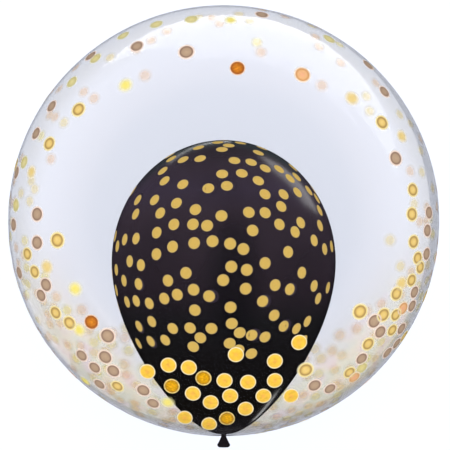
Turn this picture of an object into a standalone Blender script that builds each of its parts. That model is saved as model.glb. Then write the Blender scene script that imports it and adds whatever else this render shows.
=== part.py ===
# Confetti balloon: a clear stretched-film bubble with a black latex balloon inside it.
# Metres, +Z up. It lies on its back: the neck points along -Y, the front faces +Z, and
# the origin is the centre of the small flat spot that it rests on.

import math

import bpy

# Clear bubble
BUBBLE_DIAMETER = 0.530
FILM_WALL = 0.0003
RESTING_SPOT_DIAMETER = 0.076

# Latex balloon: its widest level lies CROWN_LENGTH below its top
LATEX_DIAMETER = 0.276
CROWN_LENGTH = 0.1505
TAPER_LENGTH = 0.212
TAPER_PULL = 1.05
LATEX_WALL = 0.0003
SHOULDER_GAP = 0.0015

# Neck and tail, where the latex leaves through the film
NECK_DIAMETER = 0.0058
NECK_BORE = 0.0024
NECK_CLEARANCE = 0.0003
TAIL_LENGTH = 0.0142
LIP_DIAMETER = 0.0161
LIP_ROUND = 0.0034
FLARE_CURVE = 1.15

# Facets
BUBBLE_SIDES = 48
BUBBLE_RINGS = 24
LATEX_SIDES = 32
CROWN_RINGS = 8
TAPER_RINGS = 12
FLARE_RINGS = 4
LIP_RINGS = 4

BUBBLE_RADIUS = BUBBLE_DIAMETER / 2
SPOT_RADIUS = RESTING_SPOT_DIAMETER / 2
CENTRE_HEIGHT = math.sqrt(BUBBLE_RADIUS ** 2 - SPOT_RADIUS ** 2)
NECK_RADIUS = NECK_DIAMETER / 2
BORE_RADIUS = NECK_BORE / 2
LIP_RADIUS = LIP_DIAMETER / 2

# Levels along the neck's axis, from the bubble's centre
SHOULDER_Y = -(BUBBLE_RADIUS - FILM_WALL - SHOULDER_GAP)
WIDEST_Y = SHOULDER_Y + TAPER_LENGTH
FLARE_START_Y = -(BUBBLE_RADIUS + NECK_CLEARANCE)
TAIL_END_Y = -(BUBBLE_RADIUS + TAIL_LENGTH)
LIP_Y = TAIL_END_Y + LIP_ROUND


def clear_scene():
    for old in list(bpy.data.objects):
        bpy.data.objects.remove(old, do_unlink=True)


def make_material(name, colour, roughness, alpha=1.0):
    material = bpy.data.materials.new(name)
    material.use_nodes = True
    shader = material.node_tree.nodes["Principled BSDF"]
    shader.inputs["Base Color"].default_value = (*colour, 1.0)
    shader.inputs["Roughness"].default_value = roughness
    shader.inputs["Metallic"].default_value = 0.0
    shader.inputs["Alpha"].default_value = alpha
    return material


def clear_film():
    return make_material("clear film", (0.80, 0.83, 0.92), 0.06, alpha=0.25)


def black_latex():
    return make_material("black latex", (0.012, 0.009, 0.014), 0.25)


def add_profile(name, points, material):
    # an open chain of edges, which a Screw modifier turns into the round body
    mesh = bpy.data.meshes.new(name)
    edges = [(i, i + 1) for i in range(len(points) - 1)]
    mesh.from_pydata(points, edges, [])
    mesh.materials.append(material)
    piece = bpy.data.objects.new(name, mesh)
    bpy.context.collection.objects.link(piece)
    return piece


def turn_about(piece, axis, sides):
    screw = piece.modifiers.new("turned", "SCREW")
    screw.axis = axis
    screw.steps = sides
    screw.render_steps = sides
    screw.use_merge_vertices = True
    screw.merge_threshold = 0.00001
    screw.use_smooth_shade = True
    return screw


def arc(centre, radius, start, end, steps):
    # points of a round stretch, without its first one; angles from the +first axis
    points = []
    for step in range(1, steps + 1):
        angle = start + (end - start) * step / steps
        points.append((centre[0] + radius * math.cos(angle), centre[1] + radius * math.sin(angle)))
    return points


def bubble_outline():
    # from the top, over the widest ring, down to the edge and the middle of the flat spot
    half_rings = BUBBLE_RINGS // 2
    spot_angle = -math.acos(SPOT_RADIUS / BUBBLE_RADIUS)
    outline = [(0.0, BUBBLE_RADIUS)]
    outline += arc((0.0, 0.0), BUBBLE_RADIUS, math.pi / 2, 0.0, half_rings)
    outline += arc((0.0, 0.0), BUBBLE_RADIUS, 0.0, spot_angle, half_rings)
    outline.append((0.0, -CENTRE_HEIGHT))
    return outline


def add_neck_hole():
    # cutter for the hole that the latex neck leaves by
    length = 0.02
    bpy.ops.mesh.primitive_cylinder_add(
        vertices=LATEX_SIDES,
        radius=NECK_RADIUS + NECK_CLEARANCE,
        depth=length,
        location=(0.0, -BUBBLE_RADIUS, CENTRE_HEIGHT),
        rotation=(math.pi / 2, 0.0, 0.0),
    )
    cutter = bpy.context.object
    cutter.name = "neck_hole"
    cutter.hide_render = True
    cutter.display_type = "WIRE"
    return cutter


def add_clear_bubble():
    points = [(radius, 0.0, height) for radius, height in bubble_outline()]
    bubble = add_profile("clear_bubble", points, clear_film())
    bubble.location = (0.0, 0.0, CENTRE_HEIGHT)
    turn_about(bubble, "Z", BUBBLE_SIDES)

    wall = bubble.modifiers.new("film wall", "SOLIDIFY")
    wall.thickness = FILM_WALL
    wall.offset = -1.0
    wall.use_even_offset = True

    hole = bubble.modifiers.new("neck hole", "BOOLEAN")
    hole.operation = "DIFFERENCE"
    hole.solver = "EXACT"
    hole.object = add_neck_hole()
    return bubble


def body_outline(inset, end_radius):
    # half the balloon's outline from its top to the neck: an elliptical crown, then a taper
    # whose sides are pulled in; inset moves it inwards by the wall
    half_width = LATEX_DIAMETER / 2 - inset
    crown = CROWN_LENGTH - inset
    taper = TAPER_LENGTH - inset
    outline = []
    for step in range(CROWN_RINGS + 1):
        angle = math.pi / 2 * (1 - step / CROWN_RINGS)
        outline.append((half_width * math.cos(angle), crown * math.sin(angle)))
    outline[0] = (0.0, crown)
    for step in range(1, TAPER_RINGS + 1):
        down = math.sin(math.pi / 2 * step / TAPER_RINGS)
        width = half_width * math.sqrt((1 - down) * (1 + down - TAPER_PULL * down ** 2))
        outline.append((max(width, end_radius), -taper * down))
    return outline


def tail_outline():
    # straight through the film, flared to the rolled lip, flat across the end
    outline = [(NECK_RADIUS, FLARE_START_Y)]
    for step in range(1, FLARE_RINGS + 1):
        share = step / FLARE_RINGS
        radius = NECK_RADIUS + (LIP_RADIUS - NECK_RADIUS) * share ** FLARE_CURVE
        outline.append((radius, FLARE_START_Y + (LIP_Y - FLARE_START_Y) * share))
    outline += arc((LIP_RADIUS - LIP_ROUND, LIP_Y), LIP_ROUND, 0.0, -math.pi / 2, LIP_RINGS)
    outline.append((BORE_RADIUS, TAIL_END_Y))
    return outline


def add_inner_balloon():
    outside = [(radius, WIDEST_Y + level) for radius, level in body_outline(0.0, NECK_RADIUS)]
    inside = [(radius, WIDEST_Y + level) for radius, level in body_outline(LATEX_WALL, BORE_RADIUS)]
    inside.reverse()
    points = [(radius, level, 0.0) for radius, level in outside + tail_outline() + inside]
    balloon = add_profile("inner_balloon", points, black_latex())
    balloon.location = (0.0, 0.0, CENTRE_HEIGHT)
    turn_about(balloon, "Y", LATEX_SIDES)
    return balloon


def main():
    clear_scene()
    add_clear_bubble()
    add_inner_balloon()


main()
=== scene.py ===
import math
import random

import bmesh
import bpy
from mathutils import Matrix, Vector
from mathutils.bvhtree import BVHTree


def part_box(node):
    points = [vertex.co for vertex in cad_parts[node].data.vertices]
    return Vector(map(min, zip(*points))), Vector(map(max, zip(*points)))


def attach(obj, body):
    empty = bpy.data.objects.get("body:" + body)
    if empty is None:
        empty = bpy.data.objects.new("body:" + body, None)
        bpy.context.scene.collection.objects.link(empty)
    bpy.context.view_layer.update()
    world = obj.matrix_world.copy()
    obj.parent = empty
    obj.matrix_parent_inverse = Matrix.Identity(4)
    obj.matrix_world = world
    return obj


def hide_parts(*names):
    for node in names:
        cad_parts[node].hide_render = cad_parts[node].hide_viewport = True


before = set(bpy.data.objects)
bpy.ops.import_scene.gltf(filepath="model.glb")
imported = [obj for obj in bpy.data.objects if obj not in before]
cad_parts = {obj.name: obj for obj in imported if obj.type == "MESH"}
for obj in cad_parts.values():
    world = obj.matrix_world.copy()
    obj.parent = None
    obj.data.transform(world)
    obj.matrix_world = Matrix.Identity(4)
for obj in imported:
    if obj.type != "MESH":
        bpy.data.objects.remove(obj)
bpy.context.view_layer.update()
print("frame loaded:", sorted(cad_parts))

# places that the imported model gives
bubbleLow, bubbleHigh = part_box("clear_bubble")
latexLow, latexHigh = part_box("inner_balloon")
bubbleRadius = (bubbleHigh.x - bubbleLow.x) / 2
centreHeight = bubbleHigh.z - bubbleRadius
bubbleCentre = Vector((0.0, 0.0, centreHeight))

# the camera looks straight down on the balloon as it lies on its back
view = {
    "sensorWidth": 36.0,
    "distance": 4.2,
    "frameSpan": 0.5544,
    "right": 0.0016,
    "up": -0.0053,
    "farthest": 60.0,
    "seeThroughLayers": 32,
}

# lightLevel is how brightly white paper shines on top of the balloon, under this light
studio = {
    "lightLevel": 1.83,
    "worldStrength": 0.7,
    "floorSize": 24.0,
    "floorDrop": 0.0005,
    "floorColour": (0.80, 0.835, 0.945, 1.0),
    "floorPower": 78.0,
    "overheadSize": 2.6,
    "overheadHeight": 3.2,
    "overheadPower": 110.0,
}

# lamps that lie on the floor, each mirrored by one skin only: two make the window glow on the
# film, and the others the streaks of light
mirroredLamps = {
    "window": {
        "on": "film",
        "size": (1.9, 1.5),
        "place": (0.585, 1.20, 0.01),
        "turn": -8.0,
        "power": 103.0,
    },
    "farWindow": {
        "on": "film",
        "size": (4.6, 2.2),
        "place": (1.7, 3.2, 0.01),
        "turn": 0.0,
        "power": 400.0,
    },
    "shoulder": {
        "on": "latex",
        "size": (0.38, 0.36),
        "place": (0.425, 0.388, 0.01),
        "turn": 42.0,
        "power": 0.84,
    },
    "neck": {
        "on": "latex",
        "size": (0.13, 0.04),
        "place": (0.200, -0.405, 0.01),
        "turn": -4.0,
        "power": 0.05,
    },
    "crown": {
        "on": "latex",
        "size": (0.25, 0.02),
        "place": (-0.100, 0.247, 0.01),
        "turn": -23.4,
        "power": 0.045,
    },
    "rim": {
        "on": "film",
        "size": (0.17, 0.20),
        "place": (-0.437, -0.253, 0.01),
        "turn": 30.0,
        "power": 0.24,
    },
}


# general helpers

def deselectAll():
    if bpy.context.object and bpy.context.object.mode != "OBJECT":
        bpy.ops.object.mode_set(mode="OBJECT")
    bpy.ops.object.select_all(action="DESELECT")


def pickOnly(piece):
    deselectAll()
    piece.select_set(True)
    bpy.context.view_layer.objects.active = piece


def startEditing(piece, selectMode="VERT"):
    pickOnly(piece)
    bpy.ops.object.mode_set(mode="EDIT")
    bpy.ops.mesh.select_mode(type=selectMode)
    bpy.ops.mesh.select_all(action="DESELECT")


def stopEditing():
    bpy.ops.object.mode_set(mode="OBJECT")


def selectVerts(piece, test):
    mesh = bmesh.from_edit_mesh(piece.data)
    for vert in mesh.verts:
        vert.select = test(vert.co)
    mesh.select_flush(True)
    bmesh.update_edit_mesh(piece.data)


def selectFaces(piece, test):
    mesh = bmesh.from_edit_mesh(piece.data)
    for face in mesh.faces:
        face.select = test(face)
    bmesh.update_edit_mesh(piece.data)


def selectOpenEdges(piece):
    mesh = bmesh.from_edit_mesh(piece.data)
    for edge in mesh.edges:
        edge.select = edge.is_boundary
    mesh.select_flush(False)
    bmesh.update_edit_mesh(piece.data)


def applyPlace(piece):
    pickOnly(piece)
    bpy.ops.object.transform_apply(location=True, rotation=True, scale=True)


def applyModifiers(piece):
    pickOnly(piece)
    for modifier in list(piece.modifiers):
        bpy.ops.object.modifier_apply(modifier=modifier.name)


def shadeSmooth(piece):
    pickOnly(piece)
    bpy.ops.object.shade_smooth()


def keepFromLight(piece):
    # it casts no shadow, and the other pieces neither mirror it nor take its colour
    piece.visible_shadow = False
    piece.visible_glossy = False
    piece.visible_diffuse = False


def extrudeRing(ring, radius, level):
    # carries the selected open ring on along the neck's axis; a ring is its radius and level
    share = radius / ring[0]
    bpy.ops.mesh.extrude_edges_move()
    bpy.ops.transform.resize(value=(share, 1.0, share), center_override=(0.0, ring[1], centreHeight))
    bpy.ops.transform.translate(value=(0.0, level - ring[1], 0.0))
    return radius, level


def linear(red, green, blue):
    # a screen colour, 0 to 255, as the linear one that a shader takes
    def one(value):
        value /= 255
        return value / 12.92 if value <= 0.04045 else ((value + 0.055) / 1.055) ** 2.4
    return one(red), one(green), one(blue), 1.0


def lit(red, green, blue):
    # the colour that a thing has to have to look like this under the studio's light
    return tuple(part / studio["lightLevel"] for part in linear(red, green, blue)[:3]) + (1.0,)


# material helpers

def newMaterial(name, values):
    material = bpy.data.materials.new(name)
    material.use_nodes = True
    nodes = material.node_tree.nodes
    shader = nodes["Principled BSDF"]
    for socket, value in values.items():
        shader.inputs[socket].default_value = value
    return material, nodes, material.node_tree.links, shader


def addRamp(nodes, steps):
    # steps are (position, colour); a plain number stands for a grey
    ramp = nodes.new("ShaderNodeValToRGB")
    elements = ramp.color_ramp.elements
    while len(elements) < len(steps):
        elements.new(0.5)
    for element, (position, colour) in zip(elements, steps):
        element.position = position
        element.color = (colour, colour, colour, 1.0) if isinstance(colour, float) else colour
    return ramp


def addRange(nodes, fromRange, toRange=(0.0, 1.0), smooth=False):
    step = nodes.new("ShaderNodeMapRange")
    step.interpolation_type = "SMOOTHSTEP" if smooth else "LINEAR"
    step.inputs["From Min"].default_value, step.inputs["From Max"].default_value = fromRange
    step.inputs["To Min"].default_value, step.inputs["To Max"].default_value = toRange
    return step


def addMath(nodes, operation, second=None, third=None):
    step = nodes.new("ShaderNodeMath")
    step.operation = operation
    if second is not None:
        step.inputs[1].default_value = second
    if third is not None:
        step.inputs[2].default_value = third
    return step


def addMix(nodes, kind="MIX"):
    # returns the node and its factor, first, second and result sockets for colours
    mix = nodes.new("ShaderNodeMix")
    mix.data_type = "RGBA"
    mix.blend_type = kind
    return mix, mix.inputs[0], mix.inputs[6], mix.inputs[7], mix.outputs[2]


def makeMottleGroup():
    # clouds a colour a little, as ink and rubber are never quite even
    group = bpy.data.node_groups.new("mottle", "ShaderNodeTree")
    face = group.interface
    face.new_socket("Colour", in_out="INPUT", socket_type="NodeSocketColor")
    face.new_socket("Scale", in_out="INPUT", socket_type="NodeSocketFloat")
    face.new_socket("Darkest", in_out="INPUT", socket_type="NodeSocketFloat")
    face.new_socket("Lightest", in_out="INPUT", socket_type="NodeSocketFloat")
    face.new_socket("Colour", in_out="OUTPUT", socket_type="NodeSocketColor")
    face.new_socket("Cloud", in_out="OUTPUT", socket_type="NodeSocketFloat")
    nodes, links = group.nodes, group.links
    given = nodes.new("NodeGroupInput")
    result = nodes.new("NodeGroupOutput")
    place = nodes.new("ShaderNodeTexCoord")
    cloud = nodes.new("ShaderNodeTexNoise")
    cloud.inputs["Detail"].default_value = 3.0
    links.new(place.outputs["Object"], cloud.inputs["Vector"])
    links.new(given.outputs["Scale"], cloud.inputs["Scale"])
    shade = addRange(nodes, (0.3, 0.7))
    links.new(cloud.outputs["Fac"], shade.inputs["Value"])
    links.new(given.outputs["Darkest"], shade.inputs["To Min"])
    links.new(given.outputs["Lightest"], shade.inputs["To Max"])
    scaled = nodes.new("ShaderNodeVectorMath")
    scaled.operation = "SCALE"
    links.new(given.outputs["Colour"], scaled.inputs[0])
    links.new(shade.outputs["Result"], scaled.inputs["Scale"])
    links.new(scaled.outputs["Vector"], result.inputs["Colour"])
    links.new(cloud.outputs["Fac"], result.inputs["Cloud"])
    return group


mottleGroup = makeMottleGroup()


def addMottle(nodes, scale, darkest, lightest):
    mottle = nodes.new("ShaderNodeGroup")
    mottle.node_tree = mottleGroup
    mottle.inputs["Scale"].default_value = scale
    mottle.inputs["Darkest"].default_value = darkest
    mottle.inputs["Lightest"].default_value = lightest
    return mottle


# the clear film bubble

filmBubble = {
    "segments": 192,
    "rings": 96,
    "wall": 0.0001,
    "neckHole": 0.0034,
    "gatheredRing": 0.0051,
    "collar": 0.0006,
    "collarRadius": 0.003298,
    "pleats": 24,
    "broadFolds": 7,
    "pleatDepth": 0.0007,
    "pleatReach": 0.050,
    "smoothNeck": 0.008,
    "spotInset": 0.003,
}


def pleatDip(place):
    # how far the film is drawn in at a place near the neck, where it is gathered
    away = place - bubbleCentre
    reach = bubbleRadius * away.angle(Vector((0.0, -1.0, 0.0)))
    if reach > filmBubble["pleatReach"]:
        return 0.0
    turn = math.atan2(away.x, away.z)
    fade = (1 - reach / filmBubble["pleatReach"]) ** 2 * min(1.0, reach / filmBubble["smoothNeck"])
    fine = 0.35 * math.cos(filmBubble["pleats"] * turn)
    broad = 0.15 * math.cos(filmBubble["broadFolds"] * turn + 1.0)
    return filmBubble["pleatDepth"] * fade * (0.5 + fine + broad)


def makeFilmBubble():
    deselectAll()
    bpy.ops.mesh.primitive_uv_sphere_add(
        segments=filmBubble["segments"],
        ring_count=filmBubble["rings"],
        radius=bubbleRadius,
        location=bubbleCentre,
        rotation=(math.pi / 2, 0.0, 0.0),
    )
    bubble = bpy.context.object
    bubble.name = "clearFilm"
    applyPlace(bubble)

    # open the pole at the neck, draw its ring in and turn a short collar out
    startEditing(bubble)
    selectVerts(bubble, lambda place: place.y < -bubbleRadius * 0.9999)
    bpy.ops.mesh.delete(type="VERT")
    step = math.pi / filmBubble["rings"]
    ring = (bubbleRadius * math.sin(step), -bubbleRadius * math.cos(step))
    selectOpenEdges(bubble)
    for radius in (filmBubble["gatheredRing"], filmBubble["neckHole"]):
        ring = extrudeRing(ring, radius, -math.sqrt(bubbleRadius ** 2 - radius ** 2))
    extrudeRing(ring, filmBubble["collarRadius"], ring[1] - filmBubble["collar"])

    # the flat spot that it rests on
    bpy.ops.mesh.select_all(action="SELECT")
    bpy.ops.mesh.bisect(plane_co=(0, 0, 0), plane_no=(0, 0, 1), use_fill=True, clear_inner=True)
    bpy.ops.mesh.select_mode(type="FACE")
    selectFaces(bubble, lambda face: face.calc_center_median().z < 0.00001 and len(face.verts) > 8)
    bpy.ops.mesh.inset(thickness=filmBubble["spotInset"])
    stopEditing()

    for vert in bubble.data.vertices:
        vert.co -= (vert.co - bubbleCentre).normalized() * pleatDip(vert.co)
    wall = bubble.modifiers.new("filmWall", "SOLIDIFY")
    wall.thickness = filmBubble["wall"]
    wall.offset = -1.0
    applyModifiers(bubble)
    shadeSmooth(bubble)
    bubble.data.materials.append(makeFilmMaterial())
    return bubble


# the film's see-through share and its colours; slants run from 0, square on, to 1 along the skin
filmFinish = {
    "gloss": 0.10,
    "bend": 1.4,
    "cover": [(0.0, 0.073), (0.20, 0.071), (0.27, 0.063), (0.37, 0.055), (0.46, 0.052), (0.55, 0.066),
              (0.63, 0.090), (0.70, 0.104), (0.76, 0.108), (0.83, 0.116), (0.88, 0.110), (1.0, 0.105)],
    "clear": (0.016, 0.017, 0.024, 1.0),
    "edge": (0.05, 0.05, 0.055, 1.0),
    "thickSide": (0.707, -0.707, 0.0),
    "bandCover": 0.072,
    "bandSlants": (0.86, 0.715),
    "bandSides": (-0.4, 0.75),
    "bandSoftness": (-0.015, 0.02),
    "haze": [(0.18, (0.016, 0.017, 0.024, 1.0)), (0.27, (0.20, 0.10, 0.03, 1.0)),
             (0.38, (0.28, 0.15, 0.05, 1.0)), (0.48, (0.34, 0.22, 0.06, 1.0)),
             (0.64, (0.48, 0.35, 0.08, 1.0)), (1.0, (0.42, 0.33, 0.13, 1.0))],
    "pastels": [(0.34, (0.98, 0.46, 0.20, 1.0)), (0.45, (1.0, 0.68, 0.06, 1.0)),
                (0.56, (0.72, 0.66, 0.14, 1.0)), (0.68, (0.90, 0.48, 0.34, 1.0))],
    "pastelCover": 0.19,
    "pastelSlants": (0.2, 0.5),
    "pastelLevels": (-0.10 * bubbleRadius, 0.80 * bubbleRadius),
    "backHeights": (centreHeight, 0.75 * centreHeight),
    "cloudScale": 26.0,
}


def makeFilmMaterial():
    material, nodes, links, shader = newMaterial(
        "clearFilm", {"Roughness": filmFinish["gloss"], "IOR": filmFinish["bend"]})
    place = nodes.new("ShaderNodeTexCoord")
    parts = nodes.new("ShaderNodeSeparateXYZ")
    links.new(place.outputs["Object"], parts.inputs["Vector"])
    slant = nodes.new("ShaderNodeLayerWeight")
    slant.inputs["Blend"].default_value = 0.5
    cover = addRamp(nodes, filmFinish["cover"])
    links.new(slant.outputs["Facing"], cover.inputs["Fac"])

    # a dense band along the slanting edge, broad on the thick side and thin on the other
    side = nodes.new("ShaderNodeVectorMath")
    side.operation = "DOT_PRODUCT"
    side.inputs[1].default_value = Vector(filmFinish["thickSide"]) / bubbleRadius
    links.new(place.outputs["Object"], side.inputs[0])
    bandStart = addRange(nodes, filmFinish["bandSides"], filmFinish["bandSlants"], smooth=True)
    links.new(side.outputs["Value"], bandStart.inputs["Value"])
    past = addMath(nodes, "SUBTRACT")
    links.new(slant.outputs["Facing"], past.inputs[0])
    links.new(bandStart.outputs["Result"], past.inputs[1])
    band = addRange(nodes, filmFinish["bandSoftness"], smooth=True)
    links.new(past.outputs["Value"], band.inputs["Value"])
    withBand = addMath(nodes, "MULTIPLY_ADD", filmFinish["bandCover"])
    links.new(band.outputs["Result"], withBand.inputs[0])
    links.new(cover.outputs["Color"], withBand.inputs[2])

    # pale colours drift over the back half towards the neck
    low = addRange(nodes, filmFinish["pastelLevels"], smooth=True)
    down = addMath(nodes, "MULTIPLY", -1.0)
    links.new(parts.outputs["Y"], down.inputs[0])
    links.new(down.outputs["Value"], low.inputs["Value"])
    back = addRange(nodes, filmFinish["backHeights"], smooth=True)
    links.new(parts.outputs["Z"], back.inputs["Value"])
    sidelong = addRange(nodes, filmFinish["pastelSlants"], smooth=True)
    links.new(slant.outputs["Facing"], sidelong.inputs["Value"])
    lowBack = addMath(nodes, "MULTIPLY")
    links.new(low.outputs["Result"], lowBack.inputs[0])
    links.new(back.outputs["Result"], lowBack.inputs[1])
    drift = addMath(nodes, "MULTIPLY")
    links.new(lowBack.outputs["Value"], drift.inputs[0])
    links.new(sidelong.outputs["Result"], drift.inputs[1])
    withDrift = addMath(nodes, "MULTIPLY_ADD", filmFinish["pastelCover"])
    links.new(drift.outputs["Value"], withDrift.inputs[0])
    links.new(withBand.outputs["Value"], withDrift.inputs[2])
    links.new(withDrift.outputs["Value"], shader.inputs["Alpha"])

    cloud = nodes.new("ShaderNodeTexNoise")
    cloud.inputs["Scale"].default_value = filmFinish["cloudScale"]
    cloud.inputs["Detail"].default_value = 2.0
    links.new(place.outputs["Object"], cloud.inputs["Vector"])
    pastel = addRamp(nodes, filmFinish["pastels"])
    links.new(cloud.outputs["Fac"], pastel.inputs["Fac"])
    haze = addRamp(nodes, filmFinish["haze"])
    links.new(slant.outputs["Facing"], haze.inputs["Fac"])
    hazeMix, hazeShare, clearSocket, hazeSocket, hazed = addMix(nodes)
    clearSocket.default_value = filmFinish["clear"]
    links.new(back.outputs["Result"], hazeShare)
    links.new(haze.outputs["Color"], hazeSocket)
    edgeMix, edgeShare, innerSocket, edgeSocket, edged = addMix(nodes)
    links.new(hazed, innerSocket)
    edgeSocket.default_value = filmFinish["edge"]
    links.new(band.outputs["Result"], edgeShare)
    pastelMix, pastelShare, plainSocket, pastelSocket, tinted = addMix(nodes)
    links.new(drift.outputs["Value"], pastelShare)
    links.new(edged, plainSocket)
    links.new(pastel.outputs["Color"], pastelSocket)
    links.new(tinted, shader.inputs["Base Color"])
    return material


# the welded seam round the bubble, level with its middle

filmSeam = {
    "halfWidth": 0.0011,
    "halfHeight": 0.0003,
    "sides": 8,
    "steps": 180,
    "neckGap": 0.007,
    "colour": (0.26, 0.26, 0.30, 1.0),
    "cover": 0.12,
    "gloss": 0.3,
    "grain": (60.0, 0.8, 1.2),
}


def makeFilmSeam():
    deselectAll()
    gap = filmSeam["neckGap"] / bubbleRadius
    start = -math.pi / 2 + gap
    place = Vector((bubbleRadius * math.cos(start), bubbleRadius * math.sin(start), centreHeight))
    bpy.ops.mesh.primitive_circle_add(
        vertices=filmSeam["sides"],
        radius=1.0,
        fill_type="NGON",
        location=place,
        rotation=(math.pi / 2, 0.0, start),
    )
    seam = bpy.context.object
    seam.name = "filmSeam"
    seam.scale = (filmSeam["halfHeight"], filmSeam["halfWidth"], 1.0)
    applyPlace(seam)
    startEditing(seam)
    bpy.ops.mesh.select_all(action="SELECT")
    bpy.ops.mesh.spin(
        steps=filmSeam["steps"],
        angle=2 * math.pi - 2 * gap,
        center=bubbleCentre,
        axis=(0.0, 0.0, 1.0),
    )
    bpy.ops.mesh.select_all(action="SELECT")
    bpy.ops.mesh.normals_make_consistent(inside=False)
    stopEditing()
    shadeSmooth(seam)
    material, nodes, links, shader = newMaterial(
        "weldedFilm", {"Roughness": filmSeam["gloss"], "Alpha": filmSeam["cover"]})
    mottle = addMottle(nodes, *filmSeam["grain"])
    mottle.inputs["Colour"].default_value = filmSeam["colour"]
    links.new(mottle.outputs["Colour"], shader.inputs["Base Color"])
    seam.data.materials.append(material)
    return seam


# the black latex balloon with its neck, tail and rolled lip

latexBalloon = {
    "segments": 96,
    "rings": 84,
    "crownLength": 0.1505,
    "taperLength": 0.2120,
    "taperPull": 1.05,
    "neckRadius": 0.0029,
    "tailSteps": 8,
    "flareStart": 0.0003,
    "lipRadius": 0.00805,
    "lipRound": 0.0034,
    "lipTurn": 0.72 * math.pi,
    "flareCurve": 1.15,
    "mouthRadius": 0.0016,
    "mouthDepth": 0.0035,
    "tailFolds": 7,
    "foldDepth": 0.06,
}
latexRadius = (latexHigh.x - latexLow.x) / 2
widestLevel = latexHigh.y - latexBalloon["crownLength"]
tailEnd = latexLow.y


def latexSkin(unit):
    # where a point of the unit ball goes on the balloon: an elliptical crown, a pulled-in taper
    around = Vector((unit.x, 0.0, unit.z))
    if around.length > 0:
        around.normalize()
    if unit.y >= 0:
        radius = latexRadius * math.sqrt(max(0.0, 1 - unit.y ** 2))
        level = widestLevel + latexBalloon["crownLength"] * unit.y
    else:
        down = min(1.0, -unit.y)
        pull = latexBalloon["taperPull"]
        radius = latexRadius * math.sqrt(max(0.0, (1 - down) * (1 + down - pull * down ** 2)))
        level = widestLevel - latexBalloon["taperLength"] * down
    return Vector((0.0, level, centreHeight)) + around * radius


def tailRings():
    # radius and level from the neck through the film, over the lip and into the mouth
    neck = latexBalloon["neckRadius"]
    start = -bubbleRadius - latexBalloon["flareStart"]
    lip = latexBalloon["lipRadius"]
    bend = latexBalloon["lipRound"]
    lipLevel = tailEnd + bend
    shoulder = widestLevel - latexBalloon["taperLength"]
    rings = [(neck * 1.08, shoulder - 0.0002), (neck, shoulder - 0.0008), (neck, start)]
    steps = latexBalloon["tailSteps"]
    for step in range(1, steps + 1):
        share = step / steps
        radius = neck + (lip - neck) * share ** latexBalloon["flareCurve"]
        rings.append((radius, start + (lipLevel - start) * share))
    for step in range(1, steps + 1):
        angle = -latexBalloon["lipTurn"] * step / steps
        rings.append((lip - bend + bend * math.cos(angle), lipLevel + bend * math.sin(angle)))
    rings.append((latexBalloon["mouthRadius"], tailEnd + latexBalloon["mouthDepth"]))
    return rings


def makeLatexBalloon():
    deselectAll()
    bpy.ops.mesh.primitive_uv_sphere_add(
        segments=latexBalloon["segments"],
        ring_count=latexBalloon["rings"],
        radius=1.0,
        rotation=(math.pi / 2, 0.0, 0.0),
    )
    balloon = bpy.context.object
    balloon.name = "blackLatex"
    applyPlace(balloon)
    startEditing(balloon)
    selectVerts(balloon, lambda place: place.y < -0.99999)
    bpy.ops.mesh.delete(type="VERT")
    stopEditing()
    for vert in balloon.data.vertices:
        vert.co = latexSkin(vert.co)

    startEditing(balloon)
    selectOpenEdges(balloon)
    step = math.pi / latexBalloon["rings"]
    last = latexSkin(Vector((math.sin(step), -math.cos(step), 0.0)))
    ring = (last.x, last.y)
    for radius, level in tailRings():
        ring = extrudeRing(ring, radius, level)
    bpy.ops.mesh.edge_face_add()
    bpy.ops.mesh.select_all(action="SELECT")
    bpy.ops.mesh.normals_make_consistent(inside=False)
    stopEditing()

    # the gathered folds of the tail
    for vert in balloon.data.vertices:
        out = (-bubbleRadius - vert.co.y) / (-bubbleRadius - tailEnd)
        if out > 0:
            turn = math.atan2(vert.co.x, vert.co.z - centreHeight)
            crease = 0.5 + 0.5 * math.cos(latexBalloon["tailFolds"] * turn)
            fold = 1 - latexBalloon["foldDepth"] * crease * math.sin(math.pi * min(1, out))
            vert.co.x *= fold
            vert.co.z = centreHeight + (vert.co.z - centreHeight) * fold
    shadeSmooth(balloon)
    balloon.data.materials.append(makeLatexMaterial())
    return balloon


# colours run from the tail to the crown, where the skin is stretched thinnest and turns purple;
# sidelong and its gain are painted sheen: they paint the colour lighter where the skin slants away
latexFinish = {
    "colours": [(0.04, (0.0090, 0.0070, 0.0090, 1.0)), (0.12, (0.0034, 0.0026, 0.0014, 1.0)),
                (0.33, (0.0038, 0.0030, 0.0026, 1.0)), (0.43, (0.0050, 0.0044, 0.0046, 1.0)),
                (0.53, (0.0125, 0.0078, 0.0110, 1.0)), (0.63, (0.0165, 0.0108, 0.0152, 1.0)),
                (0.70, (0.0192, 0.0128, 0.0182, 1.0)), (0.79, (0.0245, 0.0165, 0.0232, 1.0)),
                (0.87, (0.0290, 0.0205, 0.0335, 1.0)), (0.94, (0.0255, 0.0175, 0.0255, 1.0)),
                (1.0, (0.0180, 0.0132, 0.0170, 1.0))],
    "levels": (-0.28, 0.085),
    "sidelong": [(0.0, 0.36), (0.25, 0.40), (0.5, 0.55), (0.75, 0.78), (1.0, 1.0)],
    "paintedSheenGain": 2.6,
    # painted shade: these place and shape a soft patch on the front that is painted darker
    "paintedShadePlace": (0.012, -0.070, 0.137),
    "paintedShadeSpan": (0.046, 0.115, 0.110),
    "darkest": 0.38,
    "paintedShadeFade": (0.25, 1.0),
    "grain": (14.0, 0.85, 1.12),
    # painted sheen: the crown's slanting edge is painted in this greyer colour
    "crownEdge": (0.045, 0.056, 0.060, 1.0),
    "crownSheenLevels": (0.030, 0.085),
    "crownSheenSlants": (0.60, 0.80),
    "gloss": (0.19, 0.23),
}


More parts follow.
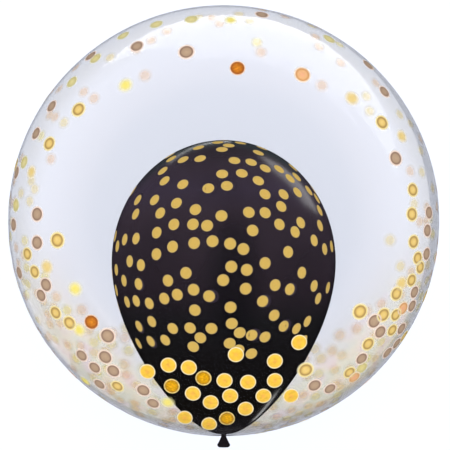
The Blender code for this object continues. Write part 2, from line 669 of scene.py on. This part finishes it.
def makeLatexMaterial():
    material, nodes, links, shader = newMaterial("blackLatex", {"IOR": 1.45})
    place = nodes.new("ShaderNodeTexCoord")
    split = nodes.new("ShaderNodeSeparateXYZ")
    links.new(place.outputs["Object"], split.inputs["Vector"])
    slant = nodes.new("ShaderNodeLayerWeight")
    slant.inputs["Blend"].default_value = 0.5
    stretch = addRange(nodes, latexFinish["levels"])
    links.new(split.outputs["Y"], stretch.inputs["Value"])
    tone = addRamp(nodes, latexFinish["colours"])
    links.new(stretch.outputs["Result"], tone.inputs["Fac"])
    mottle = addMottle(nodes, *latexFinish["grain"])
    links.new(tone.outputs["Color"], mottle.inputs["Colour"])

    # painted sheen: the colour is painted lighter where the skin slants away
    sidelong = addRamp(nodes, latexFinish["sidelong"])
    links.new(slant.outputs["Facing"], sidelong.inputs["Fac"])
    paintedSheen = addMath(nodes, "MULTIPLY", latexFinish["paintedSheenGain"])
    links.new(sidelong.outputs["Color"], paintedSheen.inputs[0])

    # painted shade: a long soft patch on the front is painted darker
    offset = nodes.new("ShaderNodeVectorMath")
    offset.operation = "SUBTRACT"
    offset.inputs[1].default_value = Vector(latexFinish["paintedShadePlace"]) + bubbleCentre
    links.new(place.outputs["Object"], offset.inputs[0])
    spread = nodes.new("ShaderNodeVectorMath")
    spread.operation = "DIVIDE"
    spread.inputs[1].default_value = latexFinish["paintedShadeSpan"]
    links.new(offset.outputs["Vector"], spread.inputs[0])
    away = nodes.new("ShaderNodeVectorMath")
    away.operation = "LENGTH"
    links.new(spread.outputs["Vector"], away.inputs[0])
    paintedShade = addRange(nodes, latexFinish["paintedShadeFade"], (latexFinish["darkest"], 1.0), smooth=True)
    links.new(away.outputs["Value"], paintedShade.inputs["Value"])
    sheenAndShade = addMath(nodes, "MULTIPLY")
    links.new(paintedSheen.outputs["Value"], sheenAndShade.inputs[0])
    links.new(paintedShade.outputs["Result"], sheenAndShade.inputs[1])
    sheenAndShadeColour = nodes.new("ShaderNodeVectorMath")
    sheenAndShadeColour.operation = "SCALE"
    links.new(mottle.outputs["Colour"], sheenAndShadeColour.inputs[0])
    links.new(sheenAndShade.outputs["Value"], sheenAndShadeColour.inputs["Scale"])

    # painted sheen: the crown's far edge is painted greyer still
    high = addRange(nodes, latexFinish["crownSheenLevels"], smooth=True)
    links.new(split.outputs["Y"], high.inputs["Value"])
    edge = addRange(nodes, latexFinish["crownSheenSlants"], smooth=True)
    links.new(slant.outputs["Facing"], edge.inputs["Value"])
    both = addMath(nodes, "MULTIPLY")
    links.new(high.outputs["Result"], both.inputs[0])
    links.new(edge.outputs["Result"], both.inputs[1])
    mix, factor, inner, outer, mixed = addMix(nodes)
    links.new(both.outputs["Value"], factor)
    links.new(sheenAndShadeColour.outputs["Vector"], inner)
    outer.default_value = latexFinish["crownEdge"]
    links.new(mixed, shader.inputs["Base Color"])

    gloss = addRange(nodes, (0.3, 0.7), latexFinish["gloss"])
    links.new(mottle.outputs["Cloud"], gloss.inputs["Value"])
    links.new(gloss.outputs["Result"], shader.inputs["Roughness"])
    return material


# printed dots

# topLight and sideLight are painted light: they brighten a dot's colour to make up for the light that it
# loses as it turns from the top; grain is for an ink that has none of its own; edges that turn by more
# than sharpAngle stay sharp
dotPrint = {
    "topLight": 1.04,
    "sideLight": 0.85,
    "grain": (260.0, 0.94, 1.04),
    "shine": 0.1,
    "sharpAngle": 35.0,
}


def makeDotShape(name, dot):
    # one printed dot: a thin closed disc. On its points, share runs from 0 in the middle to 1
    # at the rim, lift is the height over the skin, and behind is 1 on the side next to the skin
    deselectAll()
    radius = dot["diameter"] / 2
    bpy.ops.mesh.primitive_circle_add(vertices=dot["sides"], radius=radius, fill_type="NGON")
    shape = bpy.context.object
    shape.name = name
    startEditing(shape, "FACE")
    bpy.ops.mesh.select_all(action="SELECT")
    bpy.ops.mesh.inset(thickness=radius * (1 - dot["innerRing"]))
    bpy.ops.mesh.poke()
    bpy.ops.mesh.select_mode(type="EDGE")
    selectOpenEdges(shape)
    bpy.ops.mesh.extrude_edges_move()
    bpy.ops.transform.translate(value=(0.0, 0.0, -dot["thickness"]))
    bpy.ops.mesh.edge_face_add()
    if dot["seenFromBehind"]:
        bpy.ops.mesh.select_mode(type="FACE")
        selectFaces(shape, lambda face: len(face.verts) > 4)
        bpy.ops.mesh.poke()
    bpy.ops.mesh.select_all(action="SELECT")
    bpy.ops.mesh.normals_make_consistent(inside=False)
    stopEditing()
    attributes = shape.data.attributes
    share = attributes.new("share", "FLOAT", "POINT")
    lift = attributes.new("lift", "FLOAT", "POINT")
    behind = attributes.new("behind", "FLOAT", "POINT")
    for vert in shape.data.vertices:
        under = vert.co.z < -dot["thickness"] / 2
        share.data[vert.index].value = vert.co.xy.length / radius
        lift.data[vert.index].value = dot["foot"] + (0.0 if under else dot["thickness"])
        behind.data[vert.index].value = 1.0 if under else 0.0
    return shape


def placeDot(shape, name, place, out, along, stretch, size=1.0):
    # a copy of the dot at a place, facing out, drawn out by stretch in the direction along
    along = (along - out * along.dot(out)).normalized()
    turn = Matrix((along.cross(out), along, out)).transposed().to_4x4()
    copy = shape.copy()
    copy.data = shape.data.copy()
    copy.name = name
    bpy.context.scene.collection.objects.link(copy)
    scale = Matrix.Diagonal((size, size * stretch, 1.0, 1.0))
    copy.data.transform(Matrix.Translation(place) @ turn @ scale)
    # painted light: the further a dot turns from the top, the brighter its colour is painted
    light = copy.data.attributes.new("light", "FLOAT", "POINT")
    amount = dotPrint["topLight"] + dotPrint["sideLight"] * (1 - abs(out.z))
    light.data.foreach_set("value", [amount] * len(copy.data.vertices))
    return copy


def joinDots(dots, name, nearest, material):
    # joins the copies and lays each corner on the skin that carries them
    deselectAll()
    for dot in dots:
        dot.select_set(True)
    bpy.context.view_layer.objects.active = dots[0]
    if len(dots) > 1:
        bpy.ops.object.join()
    piece = dots[0]
    piece.name = name
    lifts = piece.data.attributes["lift"]
    for vert in piece.data.vertices:
        place, out = nearest(vert.co)
        vert.co = place + out * lifts.data[vert.index].value
    piece.data.materials.clear()
    piece.data.materials.append(material)
    pickOnly(piece)
    bpy.ops.object.shade_smooth_by_angle(angle=math.radians(dotPrint["sharpAngle"]))
    return piece


def nearestOnBubble(place):
    out = (place - bubbleCentre).normalized()
    return bubbleCentre + out * bubbleRadius, out


def makeInkMaterial(name, ink):
    # colours and cover run from the dot's middle to its rim. The behind ones are how it looks
    # from inside the bubble: each side is printed for the eye in front of it only
    values = {"Roughness": ink["gloss"], "Specular IOR Level": dotPrint["shine"]}
    material, nodes, links, shader = newMaterial(name, values)
    share = nodes.new("ShaderNodeAttribute")
    share.attribute_name = "share"
    behind = nodes.new("ShaderNodeAttribute")
    behind.attribute_name = "behind"

    def bothSides(front, back):
        mix, factor, frontSocket, backSocket, mixed = addMix(nodes)
        links.new(behind.outputs["Fac"], factor)
        for socket, steps in ((frontSocket, front), (backSocket, back)):
            ramp = addRamp(nodes, steps)
            links.new(share.outputs["Fac"], ramp.inputs["Fac"])
            links.new(ramp.outputs["Color"], socket)
        return mixed

    mottle = addMottle(nodes, *ink.get("grain", dotPrint["grain"]))
    links.new(bothSides(ink["colours"], ink.get("behind", ink["colours"])), mottle.inputs["Colour"])
    # painted light: the colour is brightened by the dot's light attribute
    light = nodes.new("ShaderNodeAttribute")
    light.attribute_name = "light"
    paintedLightColour = nodes.new("ShaderNodeVectorMath")
    paintedLightColour.operation = "SCALE"
    links.new(mottle.outputs["Colour"], paintedLightColour.inputs[0])
    links.new(light.outputs["Fac"], paintedLightColour.inputs["Scale"])
    links.new(paintedLightColour.outputs["Vector"], shader.inputs["Base Color"])

    if "cover" in ink:
        side = nodes.new("ShaderNodeNewGeometry")
        faced = addMath(nodes, "SUBTRACT")
        faced.inputs[0].default_value = 1.0
        links.new(side.outputs["Backfacing"], faced.inputs[1])
        cover = addMath(nodes, "MULTIPLY")
        links.new(bothSides(ink["cover"], ink["behindCover"]), cover.inputs[0])
        links.new(faced.outputs["Value"], cover.inputs[1])
        links.new(cover.outputs["Value"], shader.inputs["Alpha"])
    return material


# confetti dots on the film

filmDot = {
    "diameter": 0.0240,
    "sides": 24,
    "innerRing": 0.78,
    "thickness": 0.00015,
    "foot": 0.00005,
    "seenFromBehind": True,
}

softCover = [(0.0, 0.48), (0.45, 0.42), (0.75, 0.16), (1.0, 0.0)]
haloCover = [(0.0, 1.0), (0.75, 1.0), (0.82, 0.85), (0.92, 0.5), (1.0, 0.0)]
sharpCover = [(0.0, 1.0), (0.97, 1.0), (1.0, 0.3)]
peachBehind = [(0.0, (0.62, 0.35, 0.12, 1.0)), (0.6, (0.66, 0.42, 0.20, 1.0)),
               (1.0, (0.70, 0.55, 0.40, 1.0))]
creamBehind = [(0.0, (0.66, 0.49, 0.06, 1.0)), (0.6, (0.68, 0.54, 0.14, 1.0)),
               (1.0, (0.70, 0.62, 0.40, 1.0))]
lemonBehind = [(0.0, (0.70, 0.56, 0.02, 1.0)), (0.6, (0.72, 0.60, 0.06, 1.0)),
               (1.0, (0.70, 0.66, 0.30, 1.0))]

# what all inks of the film share
filmPrint = {
    "gloss": 0.35,
    "behindCover": softCover,
}

filmInks = {
    "brown": {
        "colours": [(0.0, lit(200, 170, 140)), (0.45, lit(192, 162, 134)), (0.68, lit(146, 118, 102)),
                    (0.78, lit(255, 226, 204)), (1.0, lit(255, 244, 236))],
        "behind": peachBehind,
        "cover": haloCover,
    },
    "ringed": {
        "colours": [(0.0, lit(252, 218, 138)), (0.34, lit(246, 210, 120)), (0.62, lit(178, 142, 88)),
                    (0.75, lit(255, 232, 150)), (0.86, lit(255, 240, 190)), (1.0, lit(255, 250, 228))],
        "behind": creamBehind,
        "cover": haloCover,
    },
    "olive": {
        "colours": [(0.0, lit(244, 230, 146)), (0.45, lit(232, 216, 130)), (0.68, lit(208, 194, 112)),
                    (0.79, lit(250, 242, 176)), (1.0, lit(252, 250, 224))],
        "behind": creamBehind,
        "cover": [(0.0, 0.9), (0.72, 0.85), (0.82, 0.5), (1.0, 0.0)],
    },
    "yellow": {
        "colours": [(0.0, lit(255, 236, 112)), (0.5, lit(255, 240, 130)), (1.0, lit(255, 248, 200))],
        "behind": lemonBehind,
        "cover": [(0.0, 1.0), (0.35, 0.92), (0.62, 0.55), (1.0, 0.0)],
    },
    "honey": {
        "colours": [(0.0, lit(246, 214, 132)), (0.5, lit(246, 218, 138)), (1.0, lit(255, 240, 196))],
        "behind": creamBehind,
        "cover": [(0.0, 1.0), (0.40, 0.92), (0.66, 0.6), (1.0, 0.0)],
    },
    "copper": {
        "colours": [(0.0, lit(250, 182, 142)), (0.45, lit(248, 192, 134)), (0.70, lit(220, 158, 100)),
                    (0.80, lit(255, 226, 190)), (1.0, lit(255, 246, 230))],
        "behind": peachBehind,
        "cover": haloCover,
    },
    "gold": {
        "colours": [(0.0, lit(255, 186, 84)), (0.45, lit(255, 204, 66)), (0.84, lit(255, 206, 78)),
                    (0.93, lit(255, 242, 206)), (1.0, lit(255, 234, 190))],
        "grain": (240.0, 0.88, 1.12),
        "behind": creamBehind,
        "cover": sharpCover,
    },
    "amber": {
        "colours": [(0.0, lit(242, 176, 12)), (0.5, lit(232, 170, 4)), (0.80, lit(190, 136, 12)),
                    (0.91, lit(250, 222, 140)), (1.0, lit(246, 220, 150))],
        "grain": (420.0, 0.62, 1.34),
        "behind": creamBehind,
        "cover": sharpCover,
    },
    "orange": {
        "colours": [(0.0, lit(240, 150, 40)), (0.45, lit(212, 124, 34)), (0.80, lit(164, 92, 36)),
                    (0.90, lit(250, 208, 172)), (1.0, lit(255, 236, 220))],
        "grain": (420.0, 0.72, 1.24),
        "behind": peachBehind,
        "cover": sharpCover,
    },
}

# the dots on the front as they lie in view, metres right of and above the bubble's middle
frontDots = {
    "brown": [
        (-0.107, 0.215), (-0.046, 0.208), (0.047, 0.254), (-0.212, 0.141), (0.198, 0.159),
        (0.212, 0.077), (-0.230, 0.008), (-0.230, -0.027), (-0.219, -0.079), (-0.225, -0.092),
        (-0.143, -0.142), (-0.146, -0.168), (-0.136, -0.185), (-0.099, -0.209), (-0.087, -0.225),
        (0.193, -0.137), (0.170, -0.170), (0.112, -0.203), (0.131, -0.207), (0.253, 0.010),
        (0.251, -0.012), (0.250, -0.041), (0.235, -0.088), (0.232, -0.105), (0.219, -0.133),
        (0.178, 0.192), (-0.175, -0.166), (-0.159, -0.181), (-0.259, -0.005), (-0.252, -0.064),
        (-0.164, 0.203), (-0.153, -0.2015),
    ],
    "ringed": [
        (0.195, 0.121), (0.233, 0.038), (0.232, 0.008),
        (0.234, -0.026), (0.239, -0.046), (0.213, -0.090), (0.168, -0.112), (0.197, -0.116),
        (0.212, -0.116), (-0.179, 0.137), (-0.215, 0.095), (-0.205, -0.024), (-0.242, -0.041),
        (0.101, -0.184), (0.155, -0.187), (-0.131, -0.204), (-0.233, -0.063), (-0.190, -0.126),
        (0.178, -0.152), (0.2315, -0.0733),
    ],
    "honey": [(0.158, 0.151), (0.2195, 0.104), (-0.237, 0.060), (-0.218, -0.057), (0.219, -0.077)],
    "olive": [
        (-0.187, 0.171), (-0.158, 0.200), (-0.124, 0.228), (-0.083, 0.242), (-0.040, 0.248),
        (-0.246, 0.072), (-0.256, 0.019), (0.130, 0.224),
    ],
    "yellow": [(-0.121, 0.167), (-0.183, -0.084), (-0.069, -0.224)],
    "copper": [(0.097, 0.180), (0.221, -0.108), (0.161, -0.193)],
    "gold": [
        (-0.068, -0.178), (-0.043, -0.181), (0.001, -0.197), (-0.038, -0.213), (-0.016, -0.224),
        (0.008, -0.216), (0.030, -0.199), (0.015, -0.165), (0.063, -0.173), (0.093, -0.150),
        (0.063, -0.197), (0.049, -0.216), (0.027, -0.232), (-0.018, -0.251), (-0.048, -0.243),
        (-0.094, -0.186), (0.083, -0.216),
    ],
    "amber": [(-0.025, -0.194), (-0.064, -0.204), (0.004, -0.244)],
    "orange": [(0.017, 0.188), (-0.163, -0.125)],
}

# the dots on the far side that show through, in the same measure
farDots = {
    "yellow": [(0.041, 0.220), (-0.117, -0.160), (0.010, -0.255)],
    "brown": [
        (0.046, 0.208), (-0.097, 0.179), (-0.160, 0.151), (0.121, 0.167), (-0.213, 0.076),
        (0.143, -0.141), (0.164, -0.133), (0.146, -0.166), (-0.175, -0.110), (-0.120, -0.190),
        (-0.202, -0.126), (-0.166, -0.135), (-0.1905, -0.128), (-0.192, -0.1535), (-0.110, -0.225),
        (-0.0625, -0.236), (0.137, -0.184), (0.186, -0.170), (0.104, -0.2286), (0.0836, -0.2335),
        (0.065, -0.242), (0.061, -0.2295), (0.219, -0.092),
    ],
    "ringed": [
        (-0.233, 0.039), (-0.197, 0.121), (0.180, 0.135), (0.205, -0.024), (0.218, -0.056),
        (-0.120, -0.132), (0.120, -0.170), (-0.160, -0.150), (-0.088, -0.236), (0.140, -0.215),
        (-0.208, -0.146), (0.117, -0.189), (0.1945, -0.149), (0.098, -0.215), (0.0775, -0.2437),
        (-0.150, -0.218),
    ],
}

# the rest, which a seeded scatter lays out. Shares of the bubble's radius: crownEdge and
# neckEdge, where the bare middle ends; neckClear, past which there are no dots; shrinkStart and
# stretchStart, past which they get smaller and longer; frontHeight and frontSide, past which
# they count as front and as beside it
scatteredDots = {
    "seed": 11,
    "count": 215,
    "tries": 20000,
    "spacing": 0.0155,
    "inks": ("brown", "brown", "brown", "ringed", "ringed", "olive", "yellow", "copper"),
    "crownEdge": 0.90,
    "neckEdge": 0.62,
    "neckClear": 0.985,
    "fewest": 0.1,
    "crowding": 1.6,
    "frontShare": 0.15,
    "frontHeight": 0.08,
    "frontSide": 0.6,
    "size": 0.94,
    "smallest": 0.86,
    "shrinkStart": 0.78,
    "edgeShrink": 1.2,
    "stretch": 1.36,
    "stretchStart": 0.75,
    "edgeStretch": 1.9,
}

# dots that look round and sharp from the front, most of them over the black balloon
flatDots = {
    "inks": ("gold", "amber", "orange"),
    "stretch": 0.95,
    "longest": 2.8,
    "size": 0.80,
}


def onBubble(right, up, far=False):
    # the place on the bubble that the camera sees there, in the plane of its middle, or the
    # one on the far side straight behind it
    eye = Vector((view["right"], view["up"], view["distance"]))
    ray = (Vector((right, up, 0.0)) - eye).normalized()
    half = -eye.dot(ray)
    root = math.sqrt(max(0.0, half ** 2 - eye.length_squared + bubbleRadius ** 2))
    return (eye + ray * (half + root if far else half - root)).normalized()


def dotShape(away):
    # the film is drawn out from its bare middle, so the dots are longer that way, and smaller
    # at the seam; returns the stretch and the size
    out = math.hypot(away.x, away.y)
    longer = scatteredDots["edgeStretch"] * max(0.0, out - scatteredDots["stretchStart"])
    shrink = scatteredDots["edgeShrink"] * max(0.0, out - scatteredDots["shrinkStart"])
    size = scatteredDots["size"] * max(scatteredDots["smallest"], 1.0 - shrink)
    return scatteredDots["stretch"] + longer, size


def scatterChance(away):
    # none in the bare middle of the front and the back, few at the crown, most by the neck
    out = math.hypot(away.x, away.y)
    toNeck = 0.5 - 0.5 * away.y / max(out, 0.001)
    start = scatteredDots["crownEdge"]
    start -= (start - scatteredDots["neckEdge"]) * max(0.0, toNeck * 2 - 1) ** 1.5
    if out < start or away.y < -scatteredDots["neckClear"]:
        return 0.0
    fewest = scatteredDots["fewest"]
    chance = fewest + (1 - fewest) * toNeck ** scatteredDots["crowding"]
    if away.z <= scatteredDots["frontHeight"]:
        return chance
    beside = abs(away.x) > scatteredDots["frontSide"] or away.y > 0
    return chance * scatteredDots["frontShare"] if beside else 0.0


def scatterDots(draw, taken):
    # adds places to taken, each clear of the others, and returns the new ones
    fresh = []
    for attempt in range(scatteredDots["tries"]):
        height = draw.uniform(-1, 1)
        turn = draw.uniform(0, 2 * math.pi)
        flat = math.sqrt(1 - height ** 2)
        away = Vector((flat * math.cos(turn), flat * math.sin(turn), height))
        if draw.random() > scatterChance(away):
            continue
        if all((away - other).length * bubbleRadius > scatteredDots["spacing"] for other in taken):
            taken.append(away)
            fresh.append(away)
        if len(fresh) == scatteredDots["count"]:
            break
    return fresh


def makeFilmDots():
    draw = random.Random(scatteredDots["seed"])
    shape = makeDotShape("confettiDot", filmDot)
    groups = {name: [] for name in filmInks}
    for name, places in frontDots.items():
        for right, up in places:
            away = onBubble(right, up)
            if name in flatDots["inks"]:
                stretch = min(flatDots["longest"], flatDots["stretch"] / max(away.z, 0.01))
                groups[name].append((away, stretch, flatDots["size"]))
            else:
                groups[name].append((away, *dotShape(away)))
    for name, places in farDots.items():
        for right, up in places:
            away = onBubble(right, up, far=True)
            groups[name].append((away, *dotShape(away)))
    taken = [place[0] for places in groups.values() for place in places]
    for away in scatterDots(draw, taken):
        name = draw.choice(scatteredDots["inks"])
        groups[name].append((away, *dotShape(away)))
    pieces = []
    for name, places in groups.items():
        copies = []
        for away, stretch, size in places:
            along = Vector((away.x, away.y, 0.0))
            place = bubbleCentre + away * bubbleRadius
            copies.append(placeDot(shape, name + "Confetti", place, away, along, stretch, size))
        ink = makeInkMaterial(name + "Ink", filmPrint | filmInks[name])
        pieces.append(joinDots(copies, name + "Confetti", nearestOnBubble, ink))
        print(name + "Confetti:", len(copies), "dots")
    bpy.data.objects.remove(shape)
    return pieces


# small gold dots on the latex

latexDot = {
    "diameter": 0.0148,
    "sides": 20,
    "innerRing": 0.86,
    "thickness": 0.00012,
    "foot": 0.0,
    "seenFromBehind": False,
}

latexDots = {
    "seed": 5,
    "count": 236,
    "tries": 12000,
    "spacings": (0.0135, 0.0235),
    "sideChance": 0.12,
    "lowest": -0.160,
}

latexInk = {
    "gloss": 0.4,
    "colours": [(0.0, lit(229, 190, 96)), (0.5, lit(231, 194, 98)), (0.84, lit(226, 189, 96)),
                (0.92, lit(232, 202, 130)), (1.0, lit(110, 84, 62))],
}

# faint pale discs printed on the latex, each set a little aside from a small dot
ghostDot = {
    "diameter": 0.0172,
    "sides": 20,
    "innerRing": 0.8,
    "thickness": 0.00005,
    "foot": 0.0,
    "seenFromBehind": False,
}

ghosts = {
    "places": [
        (0.0815, -0.0845), (0.0480, -0.0992), (0.0740, -0.1300), (0.0345, -0.1410),
        (-0.1045, -0.1300), (-0.0900, -0.1485), (-0.1050, -0.0780), (-0.0190, 0.0400),
        (-0.1060, 0.0255), (0.0040, 0.0430), (-0.0180, -0.0930),
    ],
    "aside": 0.0035,
}

ghostInk = {
    "gloss": 0.3,
    "colours": [(0.0, lit(58, 47, 60)), (0.8, lit(56, 46, 58)), (1.0, lit(40, 33, 42))],
}


def onLatex(tree, right, up):
    # the place on the latex that the camera sees there, in the plane of the balloon's middle
    eye = Vector((view["right"], view["up"], centreHeight + view["distance"]))
    ray = (Vector((right, up, centreHeight)) - eye).normalized()
    return tree.ray_cast(eye, ray)[0]


def scatterLatexDots(draw, taken):
    # evenly over the front and the back as they are seen, so more thinly along the sides
    places = list(taken)
    for attempt in range(latexDots["tries"]):
        level = draw.uniform(-1, 1)
        turn = draw.uniform(0, 2 * math.pi)
        gap = draw.uniform(*latexDots["spacings"])
        flat = math.sqrt(1 - level ** 2)
        place = latexSkin(Vector((flat * math.sin(turn), level, flat * math.cos(turn))))
        chance = latexDots["sideChance"] + (1 - latexDots["sideChance"]) * abs(math.cos(turn))
        if place.y < latexDots["lowest"] or draw.random() > chance:
            continue
        if all((place - other).length > gap for other in places):
            places.append(place)
        if len(places) == latexDots["count"]:
            break
    return places


def makeLatexDots(balloon):
    tree = BVHTree.FromObject(balloon, bpy.context.evaluated_depsgraph_get())

    def nearestOnLatex(place):
        spot, out, face, gap = tree.find_nearest(place)
        return spot, out

    def copiesAt(shape, name, places):
        copies = []
        towardsCrown = Vector((0.0, 1.0, 0.01))
        for place in places:
            spot, out = nearestOnLatex(place)
            copies.append(placeDot(shape, name, spot, out, towardsCrown, 1.0))
        print(name + ":", len(copies), "dots")
        bpy.data.objects.remove(shape)
        return copies

    draw = random.Random(latexDots["seed"])
    beside = [onLatex(tree, right, up) for right, up in ghosts["places"]]
    places = scatterLatexDots(draw, beside)
    dots = copiesAt(makeDotShape("smallDot", latexDot), "goldDots", places)
    shifted = [place + Vector((ghosts["aside"], 0.0, 0.0)) for place in beside]
    faint = copiesAt(makeDotShape("faintDot", ghostDot), "faintDots", shifted)
    return [
        joinDots(dots, "goldDots", nearestOnLatex, makeInkMaterial("paleGoldInk", latexInk)),
        joinDots(faint, "faintDots", nearestOnLatex, makeInkMaterial("faintInk", ghostInk)),
    ]


# the floor, the light and the camera

def makeFloor():
    deselectAll()
    place = (0.0, 0.0, -studio["floorDrop"])
    bpy.ops.mesh.primitive_plane_add(size=studio["floorSize"], location=place)
    floor = bpy.context.object
    floor.name = "floor"
    values = {"Base Color": studio["floorColour"], "Roughness": 0.9, "Specular IOR Level": 0.0}
    material, nodes, links, shader = newMaterial("paleFloor", values)
    floor.data.materials.append(material)
    applyPlace(floor)
    floor.visible_glossy = False
    return floor


def gather(name, pieces):
    collection = bpy.data.collections.new(name)
    for piece in pieces:
        collection.objects.link(piece)
    return collection


def makePanel(name, size, power, place, turn=0.0, lightsOnly=()):
    # a rectangular lamp that faces down, or up if it lies low; lightsOnly are its only pieces
    data = bpy.data.lights.new(name, "AREA")
    data.shape = "RECTANGLE"
    data.size, data.size_y = size
    data.energy = power
    lamp = bpy.data.objects.new(name, data)
    bpy.context.scene.collection.objects.link(lamp)
    lamp.location = place
    facesUp = place[2] < centreHeight
    lamp.rotation_euler = (math.pi if facesUp else 0.0, 0.0, math.radians(turn))
    lamp.visible_camera = False
    if lightsOnly:
        lamp.light_linking.receiver_collection = gather(name + "Pieces", lightsOnly)
    return lamp


def makeLight(floor, pieces, film, latex):
    world = bpy.data.worlds.new("studio")
    world.use_nodes = True
    backdrop = world.node_tree.nodes["Background"]
    backdrop.inputs["Color"].default_value = (1.0, 1.0, 1.0, 1.0)
    backdrop.inputs["Strength"].default_value = studio["worldStrength"]
    world.cycles_visibility.glossy = False
    bpy.context.scene.world = world
    size = (studio["overheadSize"], studio["overheadSize"])
    above = (0.0, 0.0, studio["overheadHeight"])
    overhead = makePanel("overheadSoftbox", size, studio["overheadPower"], above)
    overhead.visible_glossy = False
    # the floor has its own lamp, whose light the balloon doesn't block, so it keeps no shadow
    overhead.light_linking.receiver_collection = gather("balloonPieces", pieces)
    floorLamp = makePanel("floorSoftbox", size, studio["floorPower"], above, 0.0, [floor])
    floorLamp.light_linking.blocker_collection = gather("floorBlockers", [floor])
    for name, glow in mirroredLamps.items():
        mirror = latex if glow["on"] == "latex" else film
        lamp = makePanel(name + "Lamp", glow["size"], glow["power"], glow["place"], glow["turn"], [mirror])
        lamp.visible_diffuse = False


def makeCamera():
    data = bpy.data.cameras.new("camera")
    camera = bpy.data.objects.new("camera", data)
    bpy.context.scene.collection.objects.link(camera)
    camera.location = (view["right"], view["up"], centreHeight + view["distance"])
    data.sensor_width = view["sensorWidth"]
    data.lens = data.sensor_width * view["distance"] / view["frameSpan"]
    data.clip_end = view["farthest"]
    bpy.context.scene.camera = camera


makeCamera()
floor = makeFloor()
bpy.context.scene.view_settings.view_transform = "Standard"
bpy.context.scene.cycles.transparent_max_bounces = view["seeThroughLayers"]
print("stage ready")

film = makeFilmBubble()
keepFromLight(film)
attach(film, "root")
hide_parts("clear_bubble")
seam = makeFilmSeam()
keepFromLight(seam)
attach(seam, "root")
print("film bubble made")

latex = makeLatexBalloon()
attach(latex, "root")
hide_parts("inner_balloon")
print("latex balloon made")

prints = makeLatexDots(latex) + makeFilmDots()
for piece in prints:
    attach(piece, "root")
    keepFromLight(piece)
print("dots printed")

makeLight(floor, [film, seam, latex] + prints, film, latex)
